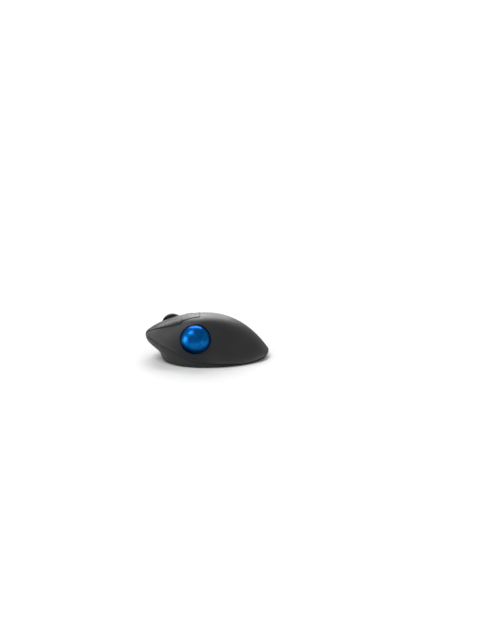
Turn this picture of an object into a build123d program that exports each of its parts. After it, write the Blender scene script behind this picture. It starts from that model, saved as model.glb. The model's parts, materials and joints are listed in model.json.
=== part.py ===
from build123d import *
import os
from math import cos, exp, pi, radians, sin, sqrt
import numpy as np

# A wireless thumb-operated trackball mouse, in millimetres.
# +Y is towards the nose, +X is the user's right, +Z is up. The thumb and the ball are on -X.
# The origin is on the desk, under the middle of the body.

# ---- driving dimensions -------------------------------------------------------------------
NOSE = 67.0                 # y of the nose tip
FLOOR = 0.8                 # underside of the case; the feet reach down to z = 0
FLOOR_TOP = 3.4             # inner face of the case floor
WALL = 2.2                  # thickness of the case skins
SEAM = 0.9                  # gap between the two shells inside the case
RIM = 1.0                   # how deep the upper shell reaches at its outer edge
RIM_GAP = 0.55              # seam that shows there
RIM_IN, RIM_OUT = 1.3, 1.0  # the rebate's depth into the upper shell, and the lower wall that fills it
KEY_PROUD, BUTTON_PROUD = 0.45, 0.8     # how far these stand above the shell
GAP = 0.4                   # gap round keys and buttons
CORE_X, CORE_Y = 1.0, 3.0   # middle of the plan outline

BALL_R = 17.0
BALL_AT = Vector(-26.0, 12.2, 23.8)
BALL_TILT = 30.0            # the opening faces the thumb, this many degrees above level
BALL_GAP = 0.5              # running gap between ball and shell
CUP_IN, CUP_OUT = 17.6, 19.2
BEARING_R = 1.25
BEARING_GAP = 0.08

WHEEL_AT = Vector(13.0, 38.0, 32.0)
WHEEL_R, WHEEL_WIDE = 12.0, 6.5
HUB_R = 10.2
AXLE_R = 1.5

SPINE = (7.3, 18.7)         # x edges of the trim between the two keys
KEY_REAR = 7.8
KEY_HINGE_Y = 5.0
KEY_ARMS = {"left": (-7.0, -2.0, 41.0), "right": (20.0, 24.0, 36.5)}   # x from, x to, axis height
PIN_R = 0.75
RUN = 0.05                  # radial running clearance

MID_Z = (16.4, 18.0)        # mid frame plate
BOARD_Z = (20.4, 21.6)      # button board
MAIN_Z = (7.0, 8.2)         # main board
SWITCH_TOP = 28.1
PLUNGER_TOP = 28.9
TACT_TOP = 26.0             # top of a tact switch on the button board
TRAVEL = 0.4                # travel of the small buttons
SWITCHES = {"left": (-1.0, 42.0), "right": (22.0, 36.0)}
PLUNGER_AHEAD = 2.7
TACTS = {"forward": (-9.8, 50.5), "back": (-13.0, 37.0), "dpi": (13.0, 20.0), "middle": (13.0, 51.4)}
LIGHT_AT = (13.0, 13.0)

CELL_X, CELL_Z, CELL_R = 15.5, 10.9, 7.25
CELL_Y = (-49.5, 1.0)
DOOR_X, DOOR_FRONT = (6.0, 25.0), 22.0
BAY_X = (8.0, 23.0)
BAY_WALLS = (-53.9, 1.8, 21.0)   # rear faces of the walls behind the cell, before it and past the receiver
BAY_WALL = 1.4

CASE_SCREWS = [(-2.0, -46.0), (30.0, -38.0), (38.0, -2.0), (-24.0, 38.0)]
SPLIT_Z = 14.0              # the screw bosses of the two shells meet here
MID_POSTS = [(-8.0, 42.0), (36.0, 24.0), (0.0, 29.0)]
CUP_POSTS = [(-14.0, -2.8), (-14.0, 27.2)]
CUP_EAR_Z = (10.0, 12.0)
MAIN_POSTS = [(6.5, 26.5), (23.5, 26.5), (6.5, 41.5), (23.5, 41.5)]
BOARD_POSTS = [(-6.8, 35.8), (32.0, 33.0), (5.0, 32.0), (4.5, 52.0)]
FEET = [(0.0, 45.4, 16.0, 3.4, 0), (-42.0, 2.0, 18.0, 4.6, 90), (40.0, 15.0, 14.0, 3.6, 90),
        (-24.0, -38.0, 14.0, 4.6, 105), (36.0, -22.0, 13.0, 3.6, 80)]   # x, y, long, wide, turn
POWER_AT, PAIR_AT = (10.5, 33.0), (19.5, 33.0)
POWER_TRAVEL = 2.0

os.makedirs("parts", exist_ok=True)


def save(piece, name):
    piece.part.label = name
    export_step(piece.part, f"parts/{name}.step")


# ---- the form -----------------------------------------------------------------------------
def smooth_curve(*stations):
    """A natural cubic through (position, value) stations, straight beyond both ends."""
    at, value = (np.array(column, float) for column in zip(*stations))
    step = np.diff(at)
    slope = np.diff(value) / step
    count = len(at)
    system, right = np.eye(count), np.zeros(count)
    for i in range(1, count - 1):
        system[i, i - 1:i + 2] = step[i - 1], 2 * (step[i - 1] + step[i]), step[i]
        right[i] = 6 * (slope[i] - slope[i - 1])
    bend = np.linalg.solve(system, right)

    def curve(x):
        if x <= at[0]:
            return value[0] + (slope[0] - bend[1] * step[0] / 6) * (x - at[0])
        if x >= at[-1]:
            return value[-1] + (slope[-1] + bend[-2] * step[-1] / 6) * (x - at[-1])
        i = int(np.searchsorted(at, x)) - 1
        a, b = (at[i + 1] - x) / step[i], (x - at[i]) / step[i]
        swing = (a**3 - a) * bend[i] + (b**3 - b) * bend[i + 1]
        return a * value[i] + b * value[i + 1] + swing * step[i]**2 / 6
    return curve


# Along the length, measured back from the nose: the ridge line, how far the thumb side drops
# below it, where that drop is centred and how sharply it falls.
ridge = smooth_curve((0, 27), (3, 29.8), (8, 33.4), (15, 37.2), (25, 41.2), (40, 45), (55, 46.9),
                     (67, 47.2), (80, 45.8), (92, 42.4), (104, 36.8), (116, 28.3), (126, 18.6), (134, 8))
drop = smooth_curve((0, 7), (6, 9.5), (15, 16), (30, 25), (45, 32), (57, 35), (75, 37.8), (92, 37),
                    (108, 32), (120, 23), (134, 7))
drop_x = smooth_curve((0, 17), (15, 24), (30, 28), (45, 31.5), (57, 32.4), (75, 30.5), (92, 27),
                      (108, 20), (120, 13), (134, 6))
steep = smooth_curve((0, .13), (15, .13), (30, .135), (45, .2), (57, .24), (75, .18), (92, .14),
                     (108, .13), (134, .13))
ridge_x = smooth_curve((0, -2), (30, 0), (60, 3), (100, 3), (134, 2))
right_reach = smooth_curve((0, 46), (20, 50), (45, 47), (60, 45.5), (95, 43.5), (110, 41.5), (125, 34),
                           (134, 30))
# The side walls, keyed by height: where the plan outline ends at the front, rear, left and right,
# and how square its front half is.
front_y = smooth_curve((FLOOR, 49.5), (6, 51.5), (12, 56.5), (17, 63), (22.5, 66.8), (28, 66.4),
                       (36, 64), (50, 60))
rear_y = smooth_curve((FLOOR, -62.8), (6, -66.8), (12, -67.8), (22.5, -67.8), (50, -67.8))
left_x = smooth_curve((FLOOR, -49), (6, -50), (12, -50.4), (22.5, -50.6), (50, -51))
right_x = smooth_curve((FLOOR, 47), (6, 49.5), (12, 51), (22.5, 51.6), (50, 52))
square = smooth_curve((FLOOR, 2.3), (12, 2.15), (22.5, 2.0), (50, 2.0))

SECTION_Y = [-73, -67, -59, -50, -40, -29, -18, -8, 2, 11, 20, 29, 38, 46, 54, 61, 68]
SECTION_X = np.linspace(-55, 54, 22)
GROOVE_DEEP, GROOVE_WIDE = 1.3, 6.5
GROOVE_X = (-1.0, 27.0)      # a finger groove down the middle of each key


def top_z(x, y):
    back = NOSE - y
    z = ridge(back) - drop(back) / (1 + exp(-steep(back) * (-x - drop_x(back))))
    side = x - ridge_x(back)
    if side > 0:
        z -= 0.2 * (sqrt(side * side + 36) - 6) + 33 * (side / right_reach(back))**3.5
    else:
        z -= 0.0016 * side * side
    groove = GROOVE_DEEP / (1 + exp((back - 42) / 4.5))
    z -= groove * sum(exp(-((x - middle) / GROOVE_WIDE)**2) for middle in GROOVE_X)
    return -12 + 3 * np.logaddexp(0, (z + 12) / 3)      # levels off far below the desk


def inner_z(x, y, depth):
    """Height of the surface that lies depth inside the top surface, measured square to it."""
    at_x, at_y, reach = x, y, 0.05
    for _ in range(6):
        slope_x = (top_z(at_x + reach, at_y) - top_z(at_x - reach, at_y)) / (2 * reach)
        slope_y = (top_z(at_x, at_y + reach) - top_z(at_x, at_y - reach)) / (2 * reach)
        tilt = sqrt(1 + slope_x**2 + slope_y**2)
        found = (at_x + slope_x * depth / tilt, at_y + slope_y * depth / tilt)
        height = top_z(at_x, at_y) - depth / tilt
        at_x += x - found[0]
        at_y += y - found[1]
    return height


def below_top(depth):
    """Everything that lies at least depth below the top surface."""
    with BuildPart() as bulk:
        for y in SECTION_Y:
            with BuildSketch(Plane((0, y, 0), x_dir=(1, 0, 0), z_dir=(0, -1, 0))):
                with BuildLine():
                    crest = Spline(*[(x, inner_z(x, y, depth)) for x in SECTION_X])
                    Polyline(crest @ 1, (SECTION_X[-1], -60), (SECTION_X[0], -60), crest @ 0)
                make_face()
        loft()
    return bulk.part


def inside_walls(inset, low):
    """Everything within the side walls, inset from their outer face, from height low upwards."""
    with BuildPart() as bulk:
        for z in [low] + [level for level in (6, 12, 17, 22.5, 28, 36, 50) if level > low]:
            ring = []
            for angle in np.linspace(0, 2 * pi, 25)[:-1]:
                across, along = cos(angle), sin(angle)
                half_x = (right_x(z) - CORE_X if across > 0 else CORE_X - left_x(z)) - inset
                half_y = (front_y(z) - CORE_Y if along > 0 else CORE_Y - rear_y(z)) - inset
                power = 2 / (square(z) if along > 0 else 2.0)
                ring.append((CORE_X + half_x * np.sign(across) * abs(across)**power,
                             CORE_Y + half_y * np.sign(along) * abs(along)**power))
            with BuildSketch(Plane.XY.offset(z)):
                with BuildLine():
                    Spline(*ring, periodic=True)
                make_face()
        loft()
    return bulk.part


# ---- small helpers, used inside a BuildPart block --------------------------------------------
def block(xs, ys, zs, mode=Mode.ADD):
    with Locations((sum(xs) / 2, sum(ys) / 2, sum(zs) / 2)):
        Box(xs[1] - xs[0], ys[1] - ys[0], zs[1] - zs[0], mode=mode)


def post(x, y, radius, zs, mode=Mode.ADD):
    with Locations((x, y, sum(zs) / 2)):
        Cylinder(radius, zs[1] - zs[0], mode=mode)


def rod(xs, y, z, radius, mode=Mode.ADD):
    with Locations((sum(xs) / 2, y, z)):
        Cylinder(radius, xs[1] - xs[0], rotation=(0, 90, 0), mode=mode)


def plate(outline, zs, grow=0.0, mode=Mode.ADD):
    with BuildSketch(Plane.XY.offset(zs[0])) as base:
        with BuildLine():
            Polyline(*outline, close=True)
        make_face()
        if grow:
            offset(amount=grow, kind=Kind.INTERSECTION)
    extrude(base.sketch, amount=zs[1] - zs[0], mode=mode)


# ---- plan outlines of the pieces that share the top skin -------------------------------------
STRIP_OUT = [(-5, 62.5), (-9.4, 56.7), (-12.6, 51.3), (-14.4, 44.7), (-16.2, 38), (-17.3, 32), (-17.6, 27.5)]
STRIP_IN = [(-1, 62.5), (-4, 57), (-6.8, 51), (-8.3, 44.7), (-9.6, 38), (-10.4, 32), (-10.6, 27.5)]
FORWARD = STRIP_OUT[:4] + STRIP_IN[3::-1]
BACK = STRIP_OUT[3:] + STRIP_IN[:2:-1]
LEFT_KEY = [(SPINE[0], 72), (SPINE[0], KEY_REAR), (-11, KEY_REAR), (-13.5, 18.7), (-15, 27.5),
            *STRIP_IN[::-1], (-1, 72)]
RIGHT_KEY = [(SPINE[1], 72), (SPINE[1], KEY_REAR), (33, KEY_REAR), (36.5, 20), (37.5, 34), (36, 72)]
SPINE_TRIM = [(SPINE[0], 72), (SPINE[0], KEY_REAR), (SPINE[1], KEY_REAR), (SPINE[1], 72)]
TALL = (-1, 60)

ball_plane = Plane(BALL_AT, x_dir=(0, 1, 0), z_dir=(-cos(radians(BALL_TILT)), 0, sin(radians(BALL_TILT))))

walls = inside_walls(0, FLOOR)
under_skin = below_top(WALL)
into_skin = below_top(WALL / 2)

with BuildPart() as rim_rebate:
    add(below_top(RIM))
    add(inside_walls(RIM_IN, -8), mode=Mode.SUBTRACT)


def top_skin(proud):
    """The whole top of the case as one skin, standing proud of the form."""
    with BuildPart() as skin:
        add(walls)
        add(below_top(-proud), mode=Mode.INTERSECT)
        add(under_skin, mode=Mode.SUBTRACT)
    return skin.part


def rebated(skin):
    with BuildPart() as rebate:
        add(skin)
        add(rim_rebate.part, mode=Mode.SUBTRACT)
    return rebate.part


shell_skin = rebated(top_skin(0))
key_skin = rebated(top_skin(KEY_PROUD))
button_skin = top_skin(BUTTON_PROUD)


# ---- upper shell ------------------------------------------------------------------------------
def key_lugs(arm):
    """The pair of lugs beside one key's hinge arm, as x ranges."""
    return (arm[0] - 1.6, arm[0] - 0.3), (arm[1] + 0.3, arm[1] + 1.6)


with BuildPart() as shell_hangers:
    for x, y in CASE_SCREWS:
        post(x, y, 3.0, (SPLIT_Z, 50))
    for arm in KEY_ARMS.values():
        for lug in key_lugs(arm):
            block(lug, (KEY_HINGE_Y - 1.9, KEY_HINGE_Y + 1.7), (arm[2] - 1.8, 50))
    add(into_skin, mode=Mode.INTERSECT)

with BuildPart() as shell_openings:
    for outline in (FORWARD, BACK, LEFT_KEY, SPINE_TRIM, RIGHT_KEY):
        plate(outline, TALL, GAP / 2)
    with Locations(BALL_AT):
        Sphere(BALL_R + BALL_GAP)
    with BuildSketch(ball_plane.offset(5.6)):       # bevel round the ball
        Circle(15.4)
    with BuildSketch(ball_plane.offset(10.4)):
        Circle(19.0)
    loft()

with BuildPart() as upper_shell:
    add(shell_skin)
    add(shell_openings.part, mode=Mode.SUBTRACT)
    add(shell_hangers.part)
    for x, y in CASE_SCREWS:
        post(x, y, 1.5, (SPLIT_Z, SPLIT_Z + 6.4), Mode.SUBTRACT)
    for arm in KEY_ARMS.values():
        rod((arm[0] - 2, arm[1] + 2), KEY_HINGE_Y, arm[2], PIN_R + 0.02, Mode.SUBTRACT)
save(upper_shell, "upper_shell")


# ---- lower shell ------------------------------------------------------------------------------
def door_section(grow):
    """Cross-section of the battery door: a plate with a tongue along each side, as two blocks."""
    return (((DOOR_X[0] - grow, DOOR_X[1] + grow), (FLOOR - grow, 1.6 + grow)),
            ((DOOR_X[0] - 1 - grow, DOOR_X[1] + 1 + grow), (1.6 - grow, 2.5 + grow)))


with BuildPart() as floor_posts:
    for x, y in CASE_SCREWS:
        post(x, y, 4.2, (FLOOR_TOP - 0.4, SPLIT_Z))
    for x, y in MID_POSTS:
        post(x, y, 2.8, (FLOOR_TOP - 0.4, MID_Z[0]))
    for x, y in CUP_POSTS:
        post(x, y, 2.6, (FLOOR_TOP - 0.4, CUP_EAR_Z[0]))
    for x, y in MAIN_POSTS:
        post(x, y, 2.0, (FLOOR_TOP - 0.4, MAIN_Z[0]))
    for wall_y, top in zip(BAY_WALLS, (10, 13, 6)):
        block((BAY_X[0] - BAY_WALL, BAY_X[1] + BAY_WALL), (wall_y, wall_y + BAY_WALL), (FLOOR_TOP - 0.4, top))
    for wall_x in (BAY_X[0] - BAY_WALL, BAY_X[1]):
        block((wall_x, wall_x + BAY_WALL), (BAY_WALLS[0], BAY_WALLS[2] + BAY_WALL), (FLOOR_TOP - 0.4, 8.5))

with BuildPart() as floor_cuts:
    for x, y in CASE_SCREWS:
        post(x, y, 3.0, (0, 4.0))
        post(x, y, 1.6, (4.0, SPLIT_Z))
    for spots, top in ((MID_POSTS, MID_Z[0]), (CUP_POSTS, CUP_EAR_Z[0])):
        for x, y in spots:
            post(x, y, 1.1, (top - 6, top))
    for x, y in MAIN_POSTS:
        post(x, y, 0.85, (FLOOR_TOP, MAIN_Z[0]))
    for xs, zs in door_section(0.15):
        block(xs, (-80, DOOR_FRONT + 0.15), zs)
    for start, end in zip(BAY_WALLS, BAY_WALLS[1:]):
        block(BAY_X, (start + BAY_WALL, end), (1, FLOOR_TOP + 1))
    post(BALL_AT.X, BALL_AT.Y, 6.0, (0, FLOOR_TOP + 1))         # hole for pushing the ball out
    for x, y, long, wide, turn in FEET:
        with BuildSketch(Plane.XY.offset(FLOOR - 0.4)):
            with Locations(Location((x, y), turn)):
                SlotOverall(long + 0.2, wide + 0.2)
        extrude(amount=0.8)
    block((POWER_AT[0] - 4.5, POWER_AT[0] + 4.5), (POWER_AT[1] - 2.6, POWER_AT[1] + 2.6), (0, 1.5))
    block((POWER_AT[0] - 3.6, POWER_AT[0] + 3.6), (POWER_AT[1] - 1.4, POWER_AT[1] + 1.4), (0, FLOOR_TOP + 1))
    post(*PAIR_AT, 2.3, (0, FLOOR_TOP + 1))

with BuildPart() as under_rebate:
    add(inside_walls(RIM_OUT, FLOOR))
    add(below_top(WALL + SEAM), mode=Mode.SUBTRACT)

with BuildPart() as lower_shell:
    add(walls)
    add(below_top(RIM + RIM_GAP), mode=Mode.INTERSECT)
    add(under_rebate.part, mode=Mode.SUBTRACT)
    add(inside_walls(WALL, FLOOR_TOP), mode=Mode.SUBTRACT)
    add(floor_posts.part)
    add(floor_cuts.part, mode=Mode.SUBTRACT)
save(lower_shell, "lower_shell")

with BuildPart() as battery_door:
    for xs, zs in door_section(0):
        block(xs, (-80, DOOR_FRONT), zs)
    add(walls, mode=Mode.INTERSECT)
    for rib in range(5):                                        # grip ribs, cut into the outer face
        block((11, 20), (-46 + 2.4 * rib, -45 + 2.4 * rib), (0, FLOOR + 0.4), Mode.SUBTRACT)
save(battery_door, "battery_door")


# ---- keys, side buttons and spine trim -------------------------------------------------------
def plunger_at(side):
    x, y = SWITCHES[side]
    return x, y + PLUNGER_AHEAD


def key_works(side):
    """What hangs under a key: the finger that presses its switch, and its hinge arm."""
    arm = KEY_ARMS[side]
    with BuildPart() as works:
        post(*plunger_at(side), 1.6, (PLUNGER_TOP + 0.1, 50))
        block(arm[:2], (9.5, 13), (arm[2] - 1.2, 50))
        add(into_skin, mode=Mode.INTERSECT)
        block(arm[:2], (KEY_HINGE_Y, 13), (arm[2] - 1.2, arm[2] + 1.2))
        rod(arm[:2], KEY_HINGE_Y, arm[2], 1.6)
        rod(arm[:2], KEY_HINGE_Y, arm[2], PIN_R + RUN, Mode.SUBTRACT)
    return works.part


for side, outline in (("left", LEFT_KEY), ("right", RIGHT_KEY)):
    works = key_works(side)
    with BuildPart() as key:
        plate(outline, TALL, -GAP / 2)
        add(key_skin, mode=Mode.INTERSECT)
        add(works)
    save(key, f"{side}_key")

for name, outline in (("forward", FORWARD), ("back", BACK)):
    with BuildPart() as stem:
        post(*TACTS[name], 1.5, (TACT_TOP + TRAVEL + 0.05, 50))
        add(into_skin, mode=Mode.INTERSECT)
    with BuildPart() as button:
        plate(outline, TALL, -GAP / 2)
        add(button_skin, mode=Mode.INTERSECT)
        add(stem.part)
    save(button, f"{name}_button")

with BuildPart() as trim_posts:
    for y in (9.8, 56.2):
        post(WHEEL_AT.X, y, 1.5, (MID_Z[1], 50))
    add(into_skin, mode=Mode.INTERSECT)

with BuildPart() as spine_trim:
    plate(SPINE_TRIM, TALL, -GAP / 2)
    add(shell_skin, mode=Mode.INTERSECT)
    with BuildSketch():
        with Locations((WHEEL_AT.X, WHEEL_AT.Y)):
            SlotOverall(27.0, WHEEL_WIDE + 1.7, rotation=90)
        with Locations(TACTS["dpi"]):
            SlotOverall(8.0 + GAP, 4.6 + GAP, rotation=90)
        with Locations(LIGHT_AT):
            Circle(0.95)
    extrude(amount=60, mode=Mode.SUBTRACT)
    add(trim_posts.part)
save(spine_trim, "spine_trim")

with BuildPart() as dpi_button:
    with BuildSketch():
        with Locations(TACTS["dpi"]):
            SlotOverall(8.0 - GAP, 4.6 - GAP, rotation=90)
    extrude(amount=60)
    add(key_skin, mode=Mode.INTERSECT)
    post(*TACTS["dpi"], 1.4, (TACT_TOP + TRAVEL + 0.05, 43.0))
save(dpi_button, "dpi_button")

with BuildPart() as key_hinge_pins:
    for arm in KEY_ARMS.values():
        rod((arm[0] - 1.6, arm[1] + 1.6), KEY_HINGE_Y, arm[2], PIN_R)
save(key_hinge_pins, "key_hinge_pins")

# ---- scroll wheel -----------------------------------------------------------------------------
CHEEKS = ((8.2, 9.2), (16.8, 17.8))
PIVOT_Y, PIVOT_Z = 24.0, 29.0
WHEEL_X = (WHEEL_AT.X - WHEEL_WIDE / 2, WHEEL_AT.X + WHEEL_WIDE / 2)

with BuildPart() as wheel_hub:
    rod((WHEEL_X[0] + 0.3, WHEEL_X[1] - 0.3), WHEEL_AT.Y, WHEEL_AT.Z, HUB_R)
    for face_x in ((WHEEL_X[0], WHEEL_X[0] + 1.8), (WHEEL_X[1] - 1.8, WHEEL_X[1])):
        rod(face_x, WHEEL_AT.Y, WHEEL_AT.Z, 8.4, Mode.SUBTRACT)
        rod(face_x, WHEEL_AT.Y, WHEEL_AT.Z, 2.8)
    with Locations(Plane.YZ.offset(WHEEL_AT.X) * Pos(WHEEL_AT.Y, WHEEL_AT.Z)):
        with PolarLocations(5.6, 6):
            Cylinder(1.7, WHEEL_WIDE, mode=Mode.SUBTRACT)
    rod(WHEEL_X, WHEEL_AT.Y, WHEEL_AT.Z, AXLE_R + 0.02, Mode.SUBTRACT)
save(wheel_hub, "wheel_hub")

with BuildPart() as wheel_tyre:
    with BuildSketch(Plane.XY) as tread:
        with Locations((WHEEL_AT.X, WHEEL_AT.Y + (HUB_R + WHEEL_R) / 2 + 0.01)):
            RectangleRounded(WHEEL_WIDE, WHEEL_R - HUB_R - 0.02, 0.7)
    revolve(axis=Axis((0, WHEEL_AT.Y, 0), (1, 0, 0)))
    with Locations(Plane.YZ.offset(WHEEL_AT.X) * Pos(WHEEL_AT.Y, 0)):
        with PolarLocations(WHEEL_R + 0.1, 36):                 # grooves across the tread
            Cylinder(0.45, WHEEL_WIDE - 1.6, mode=Mode.SUBTRACT)
wheel_tyre.part.position = (0, 0, WHEEL_AT.Z)
save(wheel_tyre, "wheel_tyre")

with BuildPart() as wheel_axle:
    rod((5.2, 17.8), WHEEL_AT.Y, WHEEL_AT.Z, AXLE_R)
save(wheel_axle, "wheel_axle")

with BuildPart() as wheel_carriage:
    with BuildSketch(Plane.YZ.offset(CHEEKS[0][0])):
        with BuildLine():
            Polyline((22.3, 27.2), (22.3, 30.9), (30, 34.8), (41, 34.6), (46, 32.8), (50.4, 30.9),
                     (52.6, 29.6), (52.6, 27.2), close=True)
        make_face()
    extrude(amount=CHEEKS[1][1] - CHEEKS[0][0])
    block((CHEEKS[0][1], CHEEKS[1][0]), (25.6, 50.6), (20, 40), Mode.SUBTRACT)
    block((CHEEKS[0][1], CHEEKS[1][0]), (20, 55), (30.8, 40), Mode.SUBTRACT)
    post(*TACTS["middle"], 1.1, (TACT_TOP + 0.6, 27.4))
    rod((8, 18), WHEEL_AT.Y, WHEEL_AT.Z, AXLE_R + RUN, Mode.SUBTRACT)
    rod((8, 18), PIVOT_Y, PIVOT_Z, PIN_R + RUN, Mode.SUBTRACT)
save(wheel_carriage, "wheel_carriage")

with BuildPart() as carriage_pin:
    rod((6.4, 19.6), PIVOT_Y, PIVOT_Z, PIN_R)
save(carriage_pin, "carriage_pin")

with BuildPart() as wheel_encoder:
    block((4.6, 8.15), (WHEEL_AT.Y - 4.2, WHEEL_AT.Y + 4.2), (27.4, 36.0))
    rod((4.9, 8.15), WHEEL_AT.Y, WHEEL_AT.Z, AXLE_R + RUN, Mode.SUBTRACT)
save(wheel_encoder, "wheel_encoder")

# ---- mid frame and button board --------------------------------------------------------------
MID_OUTLINE = [(-16, 31.5), (-16, 50), (-8, 57), (4, 58.2), (11, 57.2), (16, 56.2), (22, 53), (31, 44), (38.5, 30),
               (39.5, 19), (20, 19), (20, 6), (6, 6), (6, 25.5), (-4, 25.5)]
BOARD_OUTLINE = [(-17.5, 33.5), (-17.5, 50.5), (-13, 54.2), (22, 54.2), (30, 45.5), (34.5, 30), (17, 28),
                 (17, 11.6), (9, 11.6), (9, 28), (-6, 30)]
LUGS = ((6.4, 7.8), (18.2, 19.6))

with BuildPart() as mid_frame:
    plate(MID_OUTLINE, MID_Z)
    for x, y in BOARD_POSTS:
        post(x, y, 2.0, (MID_Z[1], BOARD_Z[0]))
    for lug in LUGS:
        block(lug, (PIVOT_Y - 1.9, PIVOT_Y + 1.9), (MID_Z[1], PIVOT_Z + 1.8))
    block((9.5, 16.5), (31, 45), MID_Z, Mode.SUBTRACT)          # room under the wheel
    block((23.9, 24.8), (30.7, 39.3), MID_Z, Mode.SUBTRACT)     # slot for the ribbon cable
    for x, y in MID_POSTS:
        post(x, y, 1.35, MID_Z, Mode.SUBTRACT)
    for x, y in BOARD_POSTS:
        post(x, y, 0.85, (BOARD_Z[0] - 3.6, BOARD_Z[0]), Mode.SUBTRACT)
    rod((6, 20), PIVOT_Y, PIVOT_Z, PIN_R + 0.02, Mode.SUBTRACT)
save(mid_frame, "mid_frame")

with BuildPart() as button_board:
    plate(BOARD_OUTLINE, BOARD_Z)
    block((9.4, 16.6), (30.5, 45.5), BOARD_Z, Mode.SUBTRACT)        # slot for the wheel
    for x, y in BOARD_POSTS:
        post(x, y, 1.1, BOARD_Z, Mode.SUBTRACT)
save(button_board, "button_board")

for side, (x, y) in SWITCHES.items():
    with BuildPart() as micro_switch:
        block((x - 2.9, x + 2.9), (y - 6.4, y + 6.4), (BOARD_Z[1], SWITCH_TOP))
        fillet(micro_switch.edges().filter_by(Axis.Z), 0.5)
        chamfer(micro_switch.faces().sort_by(Axis.Z)[-1].edges(), 0.4)
        px, py = plunger_at(side)
        block((px - 1.45, px + 1.45), (py - 0.75, py + 0.75), (SWITCH_TOP - 2, SWITCH_TOP + 1), Mode.SUBTRACT)
    save(micro_switch, f"{side}_micro_switch")
    with BuildPart() as plunger:
        block((px - 1.4, px + 1.4), (py - 0.7, py + 0.7), (SWITCH_TOP - 1.4, PLUNGER_TOP))
        fillet(plunger.faces().sort_by(Axis.Z)[-1].edges().filter_by(Axis.X), 0.3)
    save(plunger, f"{side}_plunger")


def tact_switch(x, y):
    """A square tact switch standing on the button board."""
    block((x - 3, x + 3), (y - 3, y + 3), (BOARD_Z[1], TACT_TOP - 0.9))
    post(x, y, 1.7, (TACT_TOP - 0.9, TACT_TOP))


with BuildPart() as side_switches:
    tact_switch(*TACTS["forward"])
    tact_switch(*TACTS["back"])
save(side_switches, "side_switches")
for name in ("dpi", "middle"):
    with BuildPart() as switch:
        tact_switch(*TACTS[name])
    save(switch, f"{name}_switch")

with BuildPart() as side_button_guide:
    plate([(-16, 34.5), (-16, 40), (-12.5, 53), (-7, 53), (-7, 47), (-10, 34.5)], (28.4, 30.0))
    for x, y in ((-13.4, 41.8), (-10.4, 45.6)):
        post(x, y, 1.1, (BOARD_Z[1], 28.4))
    for name in ("forward", "back"):
        post(*TACTS[name], 1.5 + RUN, (28, 31), Mode.SUBTRACT)
save(side_button_guide, "side_button_guide")

# ---- ball, cup and sensor ---------------------------------------------------------------------
with BuildPart() as ball:
    with Locations(BALL_AT):
        Sphere(BALL_R)
save(ball, "ball")

bearing_planes = []
for turn in (30, 150, 270):                                     # three rests under the ball
    spot = ball_plane.location * Rotation(0, 0, turn) * Rotation(0, 125, 0)
    bearing_planes.append(Plane(spot).offset(BALL_R + BEARING_GAP + BEARING_R))

with BuildPart() as support_bearings:
    for plane in bearing_planes:
        with Locations(plane):
            Sphere(BEARING_R)
save(support_bearings, "support_bearings")

with BuildPart() as ball_cup:
    with Locations(BALL_AT):
        Sphere(CUP_OUT)
    for plane in bearing_planes:
        with Locations(plane.offset(0.2)):
            Cylinder(2.6, 4.0)
    with Locations(ball_plane.offset(-CUP_OUT)):                # seat of the sensor window
        Cylinder(6.4, 4.4)
    for x, y in CUP_POSTS:
        post(x, y, 3.2, CUP_EAR_Z)
        block((BALL_AT.X + 6, x), (y - 2.2, y + 2.2), CUP_EAR_Z)
        post(x, y, 1.35, (CUP_EAR_Z[0] - 1, CUP_EAR_Z[1] + 1), Mode.SUBTRACT)
    for x, y in ((-37, 4), (-37, 20.4)):                        # legs down to the case floor
        post(x, y, 2.0, (FLOOR_TOP, 14))
    add(below_top(WALL + 0.5), mode=Mode.INTERSECT)
    with Locations(BALL_AT):
        Sphere(CUP_IN, mode=Mode.SUBTRACT)
    for plane in bearing_planes:
        with Locations(plane):
            Sphere(BEARING_R + 0.05, mode=Mode.SUBTRACT)
    with Locations(ball_plane.offset(-CUP_OUT - 0.5)):
        Cylinder(2.6, 8, mode=Mode.SUBTRACT)
    with Locations(ball_plane.offset(-CUP_OUT - 1.6)):
        Cylinder(4.6, 1.3, mode=Mode.SUBTRACT)
    post(BALL_AT.X, BALL_AT.Y, 6.0, (0, 12), Mode.SUBTRACT)
save(ball_cup, "ball_cup")

with BuildPart() as sensor_window:
    with Locations(ball_plane.offset(-CUP_OUT - 1.55)):
        Cylinder(4.55, 1.15)
save(sensor_window, "sensor_window")

with BuildPart() as sensor_chip:
    with Locations(ball_plane.offset(-CUP_OUT - 3.9)):
        Box(9, 9, 3.0)
    chip_face = sensor_chip.faces().sort_by(Axis(BALL_AT, ball_plane.z_dir))[-1]
    chamfer(chip_face.edges(), 0.4)
save(sensor_chip, "sensor_chip")

with BuildPart() as sensor_board:
    with Locations(ball_plane.offset(-CUP_OUT - 6.0)):
        Box(20, 13, 1.2)
save(sensor_board, "sensor_board")

# ---- main board and underside controls -------------------------------------------------------
with BuildPart() as main_board:
    block((4, 26), (24, 44), MAIN_Z)
    for x, y in MAIN_POSTS:
        post(x, y, 1.1, MAIN_Z, Mode.SUBTRACT)
save(main_board, "main_board")

with BuildPart() as board_chips:                                # radio, flash, crystal, capacitors
    block((11, 18), (28, 35), (MAIN_Z[1], MAIN_Z[1] + 1.1))
    block((19.5, 23.5), (29, 32), (MAIN_Z[1], MAIN_Z[1] + 1.3))
    block((7, 10), (34, 36), (MAIN_Z[1], MAIN_Z[1] + 0.9))
    post(20.5, 38, 2.2, (MAIN_Z[1], MAIN_Z[1] + 4.5))
    post(10.5, 39, 1.7, (MAIN_Z[1], MAIN_Z[1] + 4.0))
save(board_chips, "board_chips")

with BuildPart() as power_switch:
    x, y = POWER_AT
    block((x - 4.4, x + 4.4), (y - 2.2, y + 2.2), (4.2, MAIN_Z[0]))
    block((x - 3.3, x + 3.3), (y - 1.0, y + 1.0), (4.2, 5.6), Mode.SUBTRACT)
save(power_switch, "power_switch")

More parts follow.
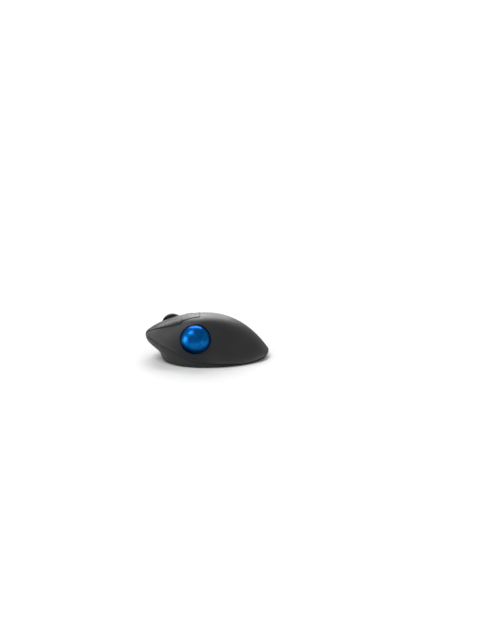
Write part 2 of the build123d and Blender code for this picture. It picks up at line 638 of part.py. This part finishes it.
with BuildPart() as power_knob:                                 # drawn in its middle position
    block((x - 1.3, x + 1.3), (y - 2.2, y + 2.2), (0.55, 1.3))
    block((x - 1.2, x + 1.2), (y - 0.9, y + 0.9), (1.3, 5.3))
    for ridge_at in (-0.7, 0, 0.7):
        block((x + ridge_at - 0.12, x + ridge_at + 0.12), (y - 2.2, y + 2.2), (0.5, 0.75), Mode.SUBTRACT)
save(power_knob, "power_knob")

with BuildPart() as pairing_button:
    post(*PAIR_AT, 2.0, (0.9, 4.0))
    fillet(pairing_button.faces().sort_by(Axis.Z)[0].edges(), 0.3)
    post(*PAIR_AT, 2.9, (FLOOR_TOP + 0.05, 4.0))                # flange that keeps it in its hole
save(pairing_button, "pairing_button")

with BuildPart() as pairing_switch:
    x, y = PAIR_AT
    block((x - 2.6, x + 2.6), (y - 2.6, y + 2.6), (5.3, MAIN_Z[0]))
    post(x, y, 1.3, (4.5, 5.3))
save(pairing_switch, "pairing_switch")

with BuildPart() as status_led:
    block((LIGHT_AT[0] - 0.8, LIGHT_AT[0] + 0.8), (LIGHT_AT[1] - 0.5, LIGHT_AT[1] + 0.5), (BOARD_Z[1], 22.4))
save(status_led, "status_led")

with BuildPart() as light_pipe:
    post(*LIGHT_AT, 0.9, (22.6, 50))
    add(below_top(0.1), mode=Mode.INTERSECT)
    post(*LIGHT_AT, 1.5, (22.6, 25))
save(light_pipe, "light_pipe")

with BuildPart() as ribbon_cable:                               # flat flex from board to board
    block((24.2, 24.5), (31, 39), (MAIN_Z[1], BOARD_Z[0]))
save(ribbon_cable, "ribbon_cable")

# ---- battery and receiver --------------------------------------------------------------------
with BuildPart() as battery_cell:
    with BuildSketch(Plane.XZ.offset(-CELL_Y[0])):
        with Locations((CELL_X, CELL_Z)):
            Circle(CELL_R)
    extrude(amount=-(CELL_Y[1] - CELL_Y[0] - 1.0))
    fillet(battery_cell.edges(), 0.5)
    with BuildSketch(Plane.XZ.offset(-CELL_Y[1])):
        with Locations((CELL_X, CELL_Z)):
            Circle(2.6)
    extrude(amount=1.4)
save(battery_cell, "battery_cell")

with BuildPart() as battery_contacts:                           # flat at the front, sprung at the rear
    front, rear = BAY_WALLS[1] - 0.4, BAY_WALLS[0] + BAY_WALL
    block((11, 20), (front, front + 0.4), (5, 12.8))
    block((11, 20), (rear, rear + 0.4), (4, 10))
    with BuildSketch(Plane.YZ.offset(CELL_X - 3)):
        with BuildLine():
            Polyline((rear + 0.3, 5.4), (CELL_Y[0] - 0.1, 9.2), (CELL_Y[0] - 0.1, 10.4), (rear + 0.3, 9.8),
                     (rear + 0.3, 9.3), (CELL_Y[0] - 0.5, 9.7), (CELL_Y[0] - 0.5, 9.3), (rear + 0.3, 6.0),
                     close=True)
        make_face()
    extrude(amount=6)
save(battery_contacts, "battery_contacts")

with BuildPart() as usb_receiver:
    block((8.8, 22.2), (3.6, 9.6), (3.0, 8.4))
    fillet(usb_receiver.edges().filter_by(Axis.Z), 1.2)
save(usb_receiver, "usb_receiver")

with BuildPart() as receiver_plug:
    block((9.5, 21.5), (9.6, 20.6), (3.3, 7.8))
    block((9.9, 21.1), (10.6, 21.0), (3.7, 5.2), Mode.SUBTRACT)
save(receiver_plug, "receiver_plug")

# ---- feet and fasteners -----------------------------------------------------------------------
with BuildPart() as feet:
    for x, y, long, wide, turn in FEET:
        with BuildSketch(Plane.XY):
            with Locations(Location((x, y), turn)):
                SlotOverall(long, wide)
        extrude(amount=FLOOR + 0.4)
save(feet, "feet")


def screw(x, y, head, shank, seat, up):
    """A pan-head screw with a cross recess. Its head rests on height seat, and up is its way in."""
    (head_r, head_high), (shank_r, shank_long) = head, shank
    post(x, y, head_r, sorted((seat, seat - up * head_high)))
    post(x, y, shank_r, sorted((seat, seat + up * shank_long)))
    outer = seat - up * head_high
    for wide, deep in ((head_r * 1.1, head_r * 0.28), (head_r * 0.28, head_r * 1.1)):
        block((x - wide / 2, x + wide / 2), (y - deep / 2, y + deep / 2),
              sorted((outer, outer + up * head_high * 0.55)), Mode.SUBTRACT)


with BuildPart() as case_screws:
    for x, y in CASE_SCREWS:
        screw(x, y, (2.7, 2.0), (1.45, 16), 4.0, 1)
save(case_screws, "case_screws")

with BuildPart() as frame_screws:
    for x, y in MID_POSTS:
        screw(x, y, (2.1, 1.4), (1.05, 7), MID_Z[1], -1)
save(frame_screws, "frame_screws")

with BuildPart() as cup_screws:
    for x, y in CUP_POSTS:
        screw(x, y, (2.1, 1.4), (1.05, 7), CUP_EAR_Z[1], -1)
save(cup_screws, "cup_screws")

with BuildPart() as board_screws:
    for spots, top in ((MAIN_POSTS, MAIN_Z[1]), (BOARD_POSTS, BOARD_Z[1])):
        for x, y in spots:
            screw(x, y, (1.7, 1.1), (0.8, 4.4), top, -1)
save(board_screws, "board_screws")
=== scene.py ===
import json
from math import cos, radians, sin

import bmesh
import bpy
import numpy as np
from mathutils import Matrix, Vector


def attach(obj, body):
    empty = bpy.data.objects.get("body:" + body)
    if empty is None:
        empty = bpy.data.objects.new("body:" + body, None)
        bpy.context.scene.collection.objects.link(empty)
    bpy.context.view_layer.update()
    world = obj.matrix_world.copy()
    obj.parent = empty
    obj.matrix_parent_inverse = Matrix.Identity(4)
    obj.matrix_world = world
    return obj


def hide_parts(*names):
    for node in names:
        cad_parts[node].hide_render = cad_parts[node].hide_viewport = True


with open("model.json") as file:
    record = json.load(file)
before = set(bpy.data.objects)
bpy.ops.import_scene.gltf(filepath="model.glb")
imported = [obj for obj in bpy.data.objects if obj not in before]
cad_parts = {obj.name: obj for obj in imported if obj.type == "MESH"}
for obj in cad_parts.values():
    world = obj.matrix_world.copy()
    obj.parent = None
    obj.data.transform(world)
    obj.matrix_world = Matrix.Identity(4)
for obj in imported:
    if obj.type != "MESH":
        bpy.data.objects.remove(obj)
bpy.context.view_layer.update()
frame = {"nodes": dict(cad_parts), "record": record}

MM = 0.001

# ---- the form, in millimetres: the same curves that the case was designed with -----------------
NOSE = 67.0
CORE_X, CORE_Y = 1.0, 3.0
FLOOR = 0.8
BALL_AT, BALL_R = Vector((-26.0, 12.2, 23.8)), 17.0
BALL_CUTS = 47                   # cuts across each face of the cube that becomes the ball
SLOPE_REACH = 0.05               # step for measuring slopes
TOP_NEAR, WALL_NEAR = 1.2, 0.5   # how near a face lies to a smooth surface that it belongs to
FACING = 0.9                     # and how far it may turn from it, as a cosine
CREASE = 30.0                    # degrees, where other edges stay sharp


def smooth_curve(*stations):
    """A natural cubic through (position, value) stations, for whole arrays of positions."""
    at, value = (np.array(column, float) for column in zip(*stations))
    step = np.diff(at)
    slope = np.diff(value) / step
    count = len(at)
    system, right = np.eye(count), np.zeros(count)
    for i in range(1, count - 1):
        system[i, i - 1:i + 2] = step[i - 1], 2 * (step[i - 1] + step[i]), step[i]
        right[i] = 6 * (slope[i] - slope[i - 1])
    bend = np.linalg.solve(system, right)

    def curve(x):
        x = np.clip(x, at[0], at[-1])
        i = np.clip(np.searchsorted(at, x) - 1, 0, count - 2)
        a, b = (at[i + 1] - x) / step[i], (x - at[i]) / step[i]
        swing = (a**3 - a) * bend[i] + (b**3 - b) * bend[i + 1]
        return a * value[i] + b * value[i + 1] + swing * step[i]**2 / 6
    return curve


ridge = smooth_curve((0, 27), (3, 29.8), (8, 33.4), (15, 37.2), (25, 41.2), (40, 45), (55, 46.9),
                     (67, 47.2), (80, 45.8), (92, 42.4), (104, 36.8), (116, 28.3), (126, 18.6), (134, 8))
drop = smooth_curve((0, 7), (6, 9.5), (15, 16), (30, 25), (45, 32), (57, 35), (75, 37.8), (92, 37),
                    (108, 32), (120, 23), (134, 7))
drop_x = smooth_curve((0, 17), (15, 24), (30, 28), (45, 31.5), (57, 32.4), (75, 30.5), (92, 27),
                      (108, 20), (120, 13), (134, 6))
steep = smooth_curve((0, .13), (15, .13), (30, .135), (45, .2), (57, .24), (75, .18), (92, .14),
                     (108, .13), (134, .13))
ridge_x = smooth_curve((0, -2), (30, 0), (60, 3), (100, 3), (134, 2))
right_reach = smooth_curve((0, 46), (20, 50), (45, 47), (60, 45.5), (95, 43.5), (110, 41.5), (125, 34),
                           (134, 30))
front_y = smooth_curve((FLOOR, 49.5), (6, 51.5), (12, 56.5), (17, 63), (22.5, 66.8), (28, 66.4),
                       (36, 64), (50, 60))
rear_y = smooth_curve((FLOOR, -62.8), (6, -66.8), (12, -67.8), (22.5, -67.8), (50, -67.8))
left_x = smooth_curve((FLOOR, -49), (6, -50), (12, -50.4), (22.5, -50.6), (50, -51))
right_x = smooth_curve((FLOOR, 47), (6, 49.5), (12, 51), (22.5, 51.6), (50, 52))
square = smooth_curve((FLOOR, 2.3), (12, 2.15), (22.5, 2.0), (50, 2.0))
GROOVE_X, GROOVE_WIDE, GROOVE_DEEP = (-1.0, 27.0), 6.5, 1.3


def top_z(x, y):
    back = NOSE - y
    z = ridge(back) - drop(back) / (1 + np.exp(-steep(back) * (-x - drop_x(back))))
    side = x - ridge_x(back)
    over = np.maximum(side, 0)
    right = 0.2 * (np.sqrt(over * over + 36) - 6) + 33 * (over / right_reach(back))**3.5
    z -= np.where(side > 0, right, 0.0016 * side * side)
    groove = GROOVE_DEEP / (1 + np.exp((back - 42) / 4.5))
    return z - groove * sum(np.exp(-((x - middle) / GROOVE_WIDE)**2) for middle in GROOVE_X)


def wall_level(x, y, z):
    """0 on the side walls and more outside them."""
    half_x = np.where(x > CORE_X, right_x(z) - CORE_X, CORE_X - left_x(z))
    half_y = np.where(y > CORE_Y, front_y(z) - CORE_Y, CORE_Y - rear_y(z))
    power = np.where(y > CORE_Y, square(z), 2.0)
    across, along = np.abs(x - CORE_X) / half_x, np.abs(y - CORE_Y) / half_y
    return (across**power + along**power)**(1 / power) * 50 - 50


def true_normals(points):
    """Normals of the top and the side walls at points, in mm, and how far the points are off each."""
    x, y, z = points.T
    reach = SLOPE_REACH
    slope_x = (top_z(x + reach, y) - top_z(x - reach, y)) / (2 * reach)
    slope_y = (top_z(x, y + reach) - top_z(x, y - reach)) / (2 * reach)
    top = np.stack([-slope_x, -slope_y, np.ones_like(x)], 1)
    wall = np.stack([wall_level(x + reach, y, z) - wall_level(x - reach, y, z),
                     wall_level(x, y + reach, z) - wall_level(x, y - reach, z),
                     wall_level(x, y, z + reach) - wall_level(x, y, z - reach)], 1)
    long = np.linalg.norm(top, axis=1)
    top_off = np.abs(z - top_z(x, y)) / long
    wall_off = np.abs(wall_level(x, y, z))
    return top / long[:, None], top_off, wall / np.linalg.norm(wall, axis=1)[:, None], wall_off


def smooth_as_designed(obj):
    """Smooth shading: exact normals where a face lies on the case's outer form, creases elsewhere."""
    mesh = obj.data
    count = len(mesh.loops)
    corner_of = np.zeros(count, int)
    mesh.loops.foreach_get("vertex_index", corner_of)
    spots = np.zeros(len(mesh.vertices) * 3)
    mesh.vertices.foreach_get("co", spots)
    spots = spots.reshape(-1, 3)[corner_of] / MM
    mesh.shade_smooth()
    mesh.set_sharp_from_angle(angle=radians(CREASE))
    normals = np.array([loop.vector for loop in mesh.corner_normals])
    flat = np.zeros(len(mesh.polygons) * 3)
    mesh.polygons.foreach_get("normal", flat)
    sizes = np.array([len(face.vertices) for face in mesh.polygons])
    flat = np.repeat(flat.reshape(-1, 3), sizes, axis=0)
    top, top_off, wall, wall_off = true_normals(spots)
    on_top = (top_off < TOP_NEAR) & ((flat * top).sum(1) > FACING)
    on_wall = (wall_off < WALL_NEAR) & ((flat * wall).sum(1) > FACING) & ~on_top
    normals[on_top] = top[on_top]
    normals[on_wall] = wall[on_wall]
    mesh.normals_split_custom_set([tuple(normal) for normal in normals])


# ---- materials ---------------------------------------------------------------------------------
class Paint:
    """A principled material and a few helpers for wiring its procedural detail."""

    def __init__(self, name, color, roughness, **sockets):
        self.material = bpy.data.materials.new(f"{name}_finish")
        self.material.use_nodes = True
        self.tree = self.material.node_tree
        self.shader = self.tree.nodes["Principled BSDF"]
        self.place = self.add("ShaderNodeTexCoord").outputs["Object"]
        self.set(self.shader, "Base Color", (*color, 1))
        self.set(self.shader, "Roughness", roughness)
        for socket, value in sockets.items():
            self.set(self.shader, socket.replace("_", " "), value)

    def add(self, kind, **settings):
        node = self.tree.nodes.new(kind)
        for name, value in settings.items():
            setattr(node, name, value)
        return node

    def set(self, node, socket, value):
        if isinstance(value, bpy.types.NodeSocket):
            self.tree.links.new(value, node.inputs[socket])
        else:
            node.inputs[socket].default_value = value

    def noise(self, scale, detail=3.0, roughness=0.5, distortion=0.0):
        node = self.add("ShaderNodeTexNoise")
        self.set(node, "Vector", self.place)
        for socket, value in (("Scale", scale), ("Detail", detail), ("Roughness", roughness),
                              ("Distortion", distortion)):
            self.set(node, socket, value)
        return node.outputs["Fac"]

    def cells(self, scale, output="Distance"):
        node = self.add("ShaderNodeTexVoronoi")
        self.set(node, "Vector", self.place)
        self.set(node, "Scale", scale)
        return node.outputs[output]

    def spread(self, value, low, high, from_low=0.3, from_high=0.7):
        node = self.add("ShaderNodeMapRange")
        for socket, setting in (("Value", value), ("From Min", from_low), ("From Max", from_high),
                                ("To Min", low), ("To Max", high)):
            self.set(node, socket, setting)
        return node.outputs["Result"]

    def math(self, operation, a, b=0.0):
        node = self.add("ShaderNodeMath", operation=operation)
        for i, value in enumerate((a, b)):
            self.set(node, i, value)
        return node.outputs[0]

    def blend(self, factor, first, second):
        node = self.add("ShaderNodeMix", data_type="RGBA")
        self.set(node, "Factor", factor)
        for socket, value in ((6, first), (7, second)):
            self.set(node, socket, value if isinstance(value, bpy.types.NodeSocket) else (*value, 1))
        return node.outputs[2]

    def color(self, value):
        self.set(self.shader, "Base Color", value)

    def roughness(self, value):
        self.set(self.shader, "Roughness", value)

    def bump(self, *layers, rounding=None):
        """Layers are (height, depth in mm). Rounding softens edges over that many mm."""
        normal = None
        if rounding:
            edge = self.add("ShaderNodeBevel", samples=4)
            self.set(edge, "Radius", rounding * MM)
            normal = edge.outputs["Normal"]
        for height, depth in layers:
            node = self.add("ShaderNodeBump")
            self.set(node, "Height", height)
            self.set(node, "Distance", depth * MM)
            if normal:
                self.set(node, "Normal", normal)
            normal = node.outputs["Normal"]
        self.set(self.shader, "Normal", normal)
        return self.material


def grained_plastic(name, color, rough=0.5, grain=0.05, pitch=0.45, worn=0.12, rounding=0.35):
    """Moulded plastic with a spark-eroded grain, faint dust and patches polished by handling."""
    paint = Paint(name, color, rough, Specular_IOR_Level=0.38)
    fine = paint.noise(1 / (pitch * MM), detail=2.0, roughness=0.6)
    coarse = paint.noise(1 / (2.6 * pitch * MM), detail=3.0)
    patches = paint.noise(38, detail=2.0, distortion=0.6)
    dust = paint.spread(paint.noise(420, detail=6.0, roughness=0.7), 0.0, 0.35, 0.62, 0.8)
    lighter = tuple(channel * 1.5 + 0.006 for channel in color)
    dusty = tuple(channel * 1.7 + 0.01 for channel in color)
    shade = paint.blend(paint.spread(patches, 0.0, 0.35), color, lighter)
    paint.color(paint.blend(dust, shade, dusty))
    base_rough = paint.spread(patches, rough - worn, rough + 0.05)
    paint.roughness(paint.math("ADD", base_rough, paint.spread(fine, -0.06, 0.06)))
    return paint.bump((coarse, grain * 1.2), (fine, grain), rounding=rounding)


def pearl_ball(name):
    """Deep blue with metal flake and slow pearl swirls under a clear glossy coat."""
    paint = Paint(name, (0.0, 0.06, 0.5), 0.3, Metallic=0.96, Coat_Weight=0.07, Coat_Roughness=0.04,
                  Coat_IOR=1.5)
    paint.set(paint.shader, "Specular Tint", (0.0, 0.35, 0.75, 1))
    swirl = paint.noise(55, detail=5.0, roughness=0.55, distortion=1.6)
    flake = paint.cells(2600, "Color")
    sparkle = paint.spread(paint.cells(2600), 0.0, 0.5, 0.1, 0.6)
    swirled = paint.spread(swirl, 0.0, 1.0, 0.35, 0.68)
    deep = paint.blend(swirled, (0.0, 0.06, 0.26), (0.0, 0.14, 0.44))
    paint.color(paint.blend(paint.math("MULTIPLY", sparkle, 0.25), deep, (0.005, 0.2, 0.6)))
    paint.roughness(paint.spread(flake, 0.3, 0.4, 0.0, 1.0))
    return paint.bump((paint.noise(900, detail=1.0), 0.004))


def ribbed_rubber(name):
    """Soft matt rubber: fine pits, random patches of dust and roughness that varies with the pits."""
    paint = Paint(name, (0.018, 0.018, 0.019), 0.75, Specular_IOR_Level=0.3)
    pits = paint.noise(3200, detail=4.0, roughness=0.7)
    dust = paint.noise(600, detail=5.0, roughness=0.7)
    dusty = paint.spread(dust, 0.0, 0.5, 0.5, 0.75)
    paint.color(paint.blend(dusty, (0.016, 0.016, 0.017), (0.05, 0.05, 0.052)))
    paint.roughness(paint.spread(pits, 0.62, 0.85))
    return paint.bump((pits, 0.03), rounding=0.2)


def turned_steel(name, color, rough=0.28):
    """Plated or ground steel with fine streaks and dull spots."""
    paint = Paint(name, color, rough, Metallic=1.0)
    fine = paint.noise(2700, detail=4.0, roughness=0.7)
    spots = paint.noise(260, detail=4.0)
    dull = tuple(channel * 0.6 for channel in color)
    paint.color(paint.blend(paint.spread(spots, 0.0, 0.5), color, dull))
    paint.roughness(paint.spread(fine, rough - 0.08, rough + 0.12))
    return paint.bump((fine, 0.006))


def circuit_board(name):
    """Green solder mask over raised copper tracks, with bare pads."""
    paint = Paint(name, (0.01, 0.11, 0.045), 0.32, Coat_Weight=0.4, Coat_Roughness=0.12)
    grid = paint.add("ShaderNodeTexBrick", offset=0.35, offset_frequency=2, squash=1.0)
    paint.set(grid, "Vector", paint.place)
    for socket, value in (("Scale", 1.0), ("Mortar Size", 0.00022), ("Brick Width", 0.0046),
                          ("Row Height", 0.0019)):
        paint.set(grid, socket, value)
    tracks = grid.outputs["Fac"]
    pads = paint.spread(paint.cells(420), 1.0, 0.0, 0.10, 0.13)
    mask = paint.blend(tracks, (0.008, 0.10, 0.04), (0.018, 0.19, 0.075))
    paint.color(paint.blend(pads, mask, (0.62, 0.5, 0.28)))
    paint.roughness(paint.spread(paint.noise(300), 0.28, 0.42))
    return paint.bump((tracks, 0.03), (pads, 0.02))


def clear_plastic(name):
    """Clear polycarbonate with faint haze."""
    paint = Paint(name, (0.93, 0.95, 0.97), 0.08, Transmission_Weight=0.9, IOR=1.58)
    haze = paint.noise(700, detail=4.0)
    paint.roughness(paint.spread(haze, 0.04, 0.16))
    return paint.bump((haze, 0.004))


def banded_cell(name):
    """Shrink film on the cell: a dark body, a copper band at the positive end, faint film creases."""
    paint = Paint(name, (0.02, 0.022, 0.026), 0.3, Coat_Weight=0.5, Coat_Roughness=0.08)
    along = paint.add("ShaderNodeSeparateXYZ")
    paint.set(along, "Vector", paint.place)
    band = paint.spread(along.outputs["Y"], 0.0, 1.0, -0.0135, -0.0133)
    nub = paint.spread(along.outputs["Y"], 0.0, 1.0, -0.0006, -0.0004)
    film = paint.blend(band, (0.018, 0.02, 0.024), (0.55, 0.25, 0.09))
    paint.color(paint.blend(nub, film, (0.7, 0.69, 0.66)))
    creases = paint.noise(150, detail=4.0, distortion=1.0)
    paint.roughness(paint.spread(creases, 0.22, 0.4))
    return paint.bump((creases, 0.03))


PLASTICS = {      # slot: colour, roughness, and what differs from the usual grain
    "shell_plastic": ((0.0195, 0.0198, 0.0212), 0.5, {"grain": 0.03, "worn": 0.08}),
    # base_plastic is darker than shell_plastic as painted shade: the lower case colour is darkened to
    # stand in for the shade that falls on it near the floor.
    "base_plastic": ((0.0105, 0.011, 0.012), 0.48, {"grain": 0.04, "worn": 0.08}),
    "key_plastic": ((0.013, 0.0135, 0.015), 0.52, {"grain": 0.025, "worn": 0.08}),
    "button_plastic": ((0.005, 0.0053, 0.006), 0.38, {"grain": 0.012, "worn": 0.06}),
    "trim_plastic": ((0.007, 0.0073, 0.0085), 0.42, {"grain": 0.01, "worn": 0.05}),
    "hub_plastic": ((0.05, 0.051, 0.056), 0.4, {"grain": 0.02}),
    "frame_plastic": ((0.03, 0.03, 0.033), 0.5, {"grain": 0.04, "pitch": 0.7}),
    "bearing_ceramic": ((0.72, 0.68, 0.6), 0.18, {"grain": 0.002, "worn": 0.05}),
    "chip_black": ((0.012, 0.012, 0.013), 0.55, {"grain": 0.03, "pitch": 0.2}),
    "switch_black": ((0.015, 0.015, 0.016), 0.4, {"grain": 0.02, "pitch": 0.3}),
    "plunger_white": ((0.7, 0.7, 0.67), 0.4, {"grain": 0.01}),
    "flex_amber": ((0.42, 0.17, 0.03), 0.3, {"grain": 0.01}),
    "receiver_plastic": ((0.014, 0.014, 0.015), 0.4, {"grain": 0.02}),
    "foot_ptfe": ((0.05, 0.05, 0.053), 0.5, {"grain": 0.006, "worn": 0.2}),
}


def make_paints():
    """One finished material for each of the record's slots."""
    made = {slot: grained_plastic(slot, color, rough, **grain)
            for slot, (color, rough, grain) in PLASTICS.items()}
    made["ball_blue"] = pearl_ball("ball_blue")
    made["wheel_rubber"] = ribbed_rubber("wheel_rubber")
    made["pin_steel"] = turned_steel("pin_steel", (0.62, 0.62, 0.64))
    made["screw_steel"] = turned_steel("screw_steel", (0.34, 0.34, 0.36), 0.34)
    made["contact_nickel"] = turned_steel("contact_nickel", (0.7, 0.68, 0.62), 0.22)
    made["board_green"] = circuit_board("board_green")
    made["window_clear"] = clear_plastic("window_clear")
    made["cell_wrap"] = banded_cell("cell_wrap")
    return made


def paint_nodes(paints):
    for part in frame["record"]["subparts"]:
        obj = frame["nodes"][part["node"]]
        obj.data.materials.clear()
        obj.data.materials.append(paints[part["material_slot"]])
        smooth_as_designed(obj)


# ---- pieces made here ----------------------------------------------------------------------------
def new_piece(name, body, slot, fill):
    """A mesh object whose shape fill(bm) makes, riding on body and finished as the record's slot."""
    mesh = bpy.data.meshes.new(name)
    bm = bmesh.new()
    fill(bm)
    bm.normal_update()
    bm.to_mesh(mesh)
    bm.free()
    mesh.materials.append(paints[slot])
    mesh.shade_smooth()
    piece = bpy.data.objects.new(name, mesh)
    bpy.context.collection.objects.link(piece)
    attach(piece, body)
    return piece


def make_ball():
    """The ball, as a finely divided cube blown up to a true sphere."""
    def fill(bm):
        bmesh.ops.create_cube(bm, size=1.0)
        bmesh.ops.subdivide_edges(bm, edges=bm.edges[:], cuts=BALL_CUTS, use_grid_fill=True)
        for vertex in bm.verts:
            x, y, z = vertex.co * 2
            spread = Vector((x * (1 - y * y / 2 - z * z / 2 + y * y * z * z / 3)**0.5,
                             y * (1 - z * z / 2 - x * x / 2 + z * z * x * x / 3)**0.5,
                             z * (1 - x * x / 2 - y * y / 2 + x * x * y * y / 3)**0.5))
            vertex.co = (spread.normalized() * BALL_R + BALL_AT) * MM
    ball = new_piece("ball_pearl", "ball", "ball_blue", fill)
    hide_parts("ball")


# ---- studio --------------------------------------------------------------------------------------
VIEW_RISE = radians(14)          # the camera looks level along +X, and down by this much
VIEW_FROM = 1.93
LENS = 100.0
AIM = Vector((0, -0.0356, 0.0405))
FLOOR_HALF = 14.0                # wide enough that its far edge stays above the picture
FLOOR_PALE, FLOOR_PALER = (0.93, 0.93, 0.935), (0.95, 0.95, 0.955)
WORLD_GLOW = 0.45
LAMP_AIM = Vector((0, 0, 0.02))


def soft_light(name, place, size, power):
    lamp = bpy.data.lights.new(name, "AREA")
    lamp.shape = "RECTANGLE"
    lamp.size, lamp.size_y = size
    lamp.energy = power
    light = bpy.data.objects.new(name, lamp)
    light.location = place
    light.rotation_euler = (LAMP_AIM - Vector(place)).to_track_quat("-Z", "Y").to_euler()
    bpy.context.collection.objects.link(light)


def soft_sun(name, toward, power, spread):
    """An even light over the whole floor, coming down along toward."""
    lamp = bpy.data.lights.new(name, "SUN")
    lamp.energy = power
    lamp.angle = radians(spread)
    light = bpy.data.objects.new(name, lamp)
    light.rotation_euler = Vector(toward).to_track_quat("-Z", "Y").to_euler()
    bpy.context.collection.objects.link(light)


def make_studio():
    bpy.context.scene.view_settings.view_transform = "Standard"
    world = bpy.data.worlds.new("studio")
    bpy.context.scene.world = world
    world.use_nodes = True
    world.node_tree.nodes["Background"].inputs["Color"].default_value = (1, 1, 1, 1)
    world.node_tree.nodes["Background"].inputs["Strength"].default_value = WORLD_GLOW
    soft_sun("back_sun", (-0.8, 0.0, -0.52), 2.1, 42)
    soft_sun("overhead_softbox", (0.04, -0.45, -0.9), 0.82, 28)
    soft_sun("nose_light", (0.12, -0.98, -0.14), 1.3, 32)
    soft_light("ball_glint", (-0.7, -0.7, 0.08), (0.05, 0.05), 0.3)

    floor = bpy.data.meshes.new("floor")
    corners = [(x * FLOOR_HALF, y * FLOOR_HALF, 0) for x, y in ((-1, -1), (1, -1), (1, 1), (-1, 1))]
    floor.from_pydata(corners, [], [(0, 1, 2, 3)])
    paint = Paint("floor_paper", FLOOR_PALE, 0.8, Specular_IOR_Level=0.2)
    paint.color(paint.blend(paint.spread(paint.noise(60), 0, 1), FLOOR_PALE, FLOOR_PALER))
    floor.materials.append(paint.bump((paint.noise(900), 0.01)))
    ground = bpy.data.objects.new("floor", floor)
    bpy.context.collection.objects.link(ground)

    lens = bpy.data.cameras.new("camera")
    lens.lens = LENS
    camera = bpy.data.objects.new("camera", lens)
    out = Vector((-cos(VIEW_RISE), 0, sin(VIEW_RISE)))
    camera.location = AIM + out * VIEW_FROM
    camera.rotation_euler = (-out).to_track_quat("-Z", "Y").to_euler()
    bpy.context.collection.objects.link(camera)
    bpy.context.scene.camera = camera


paints = make_paints()
paint_nodes(paints)
make_ball()
make_studio()
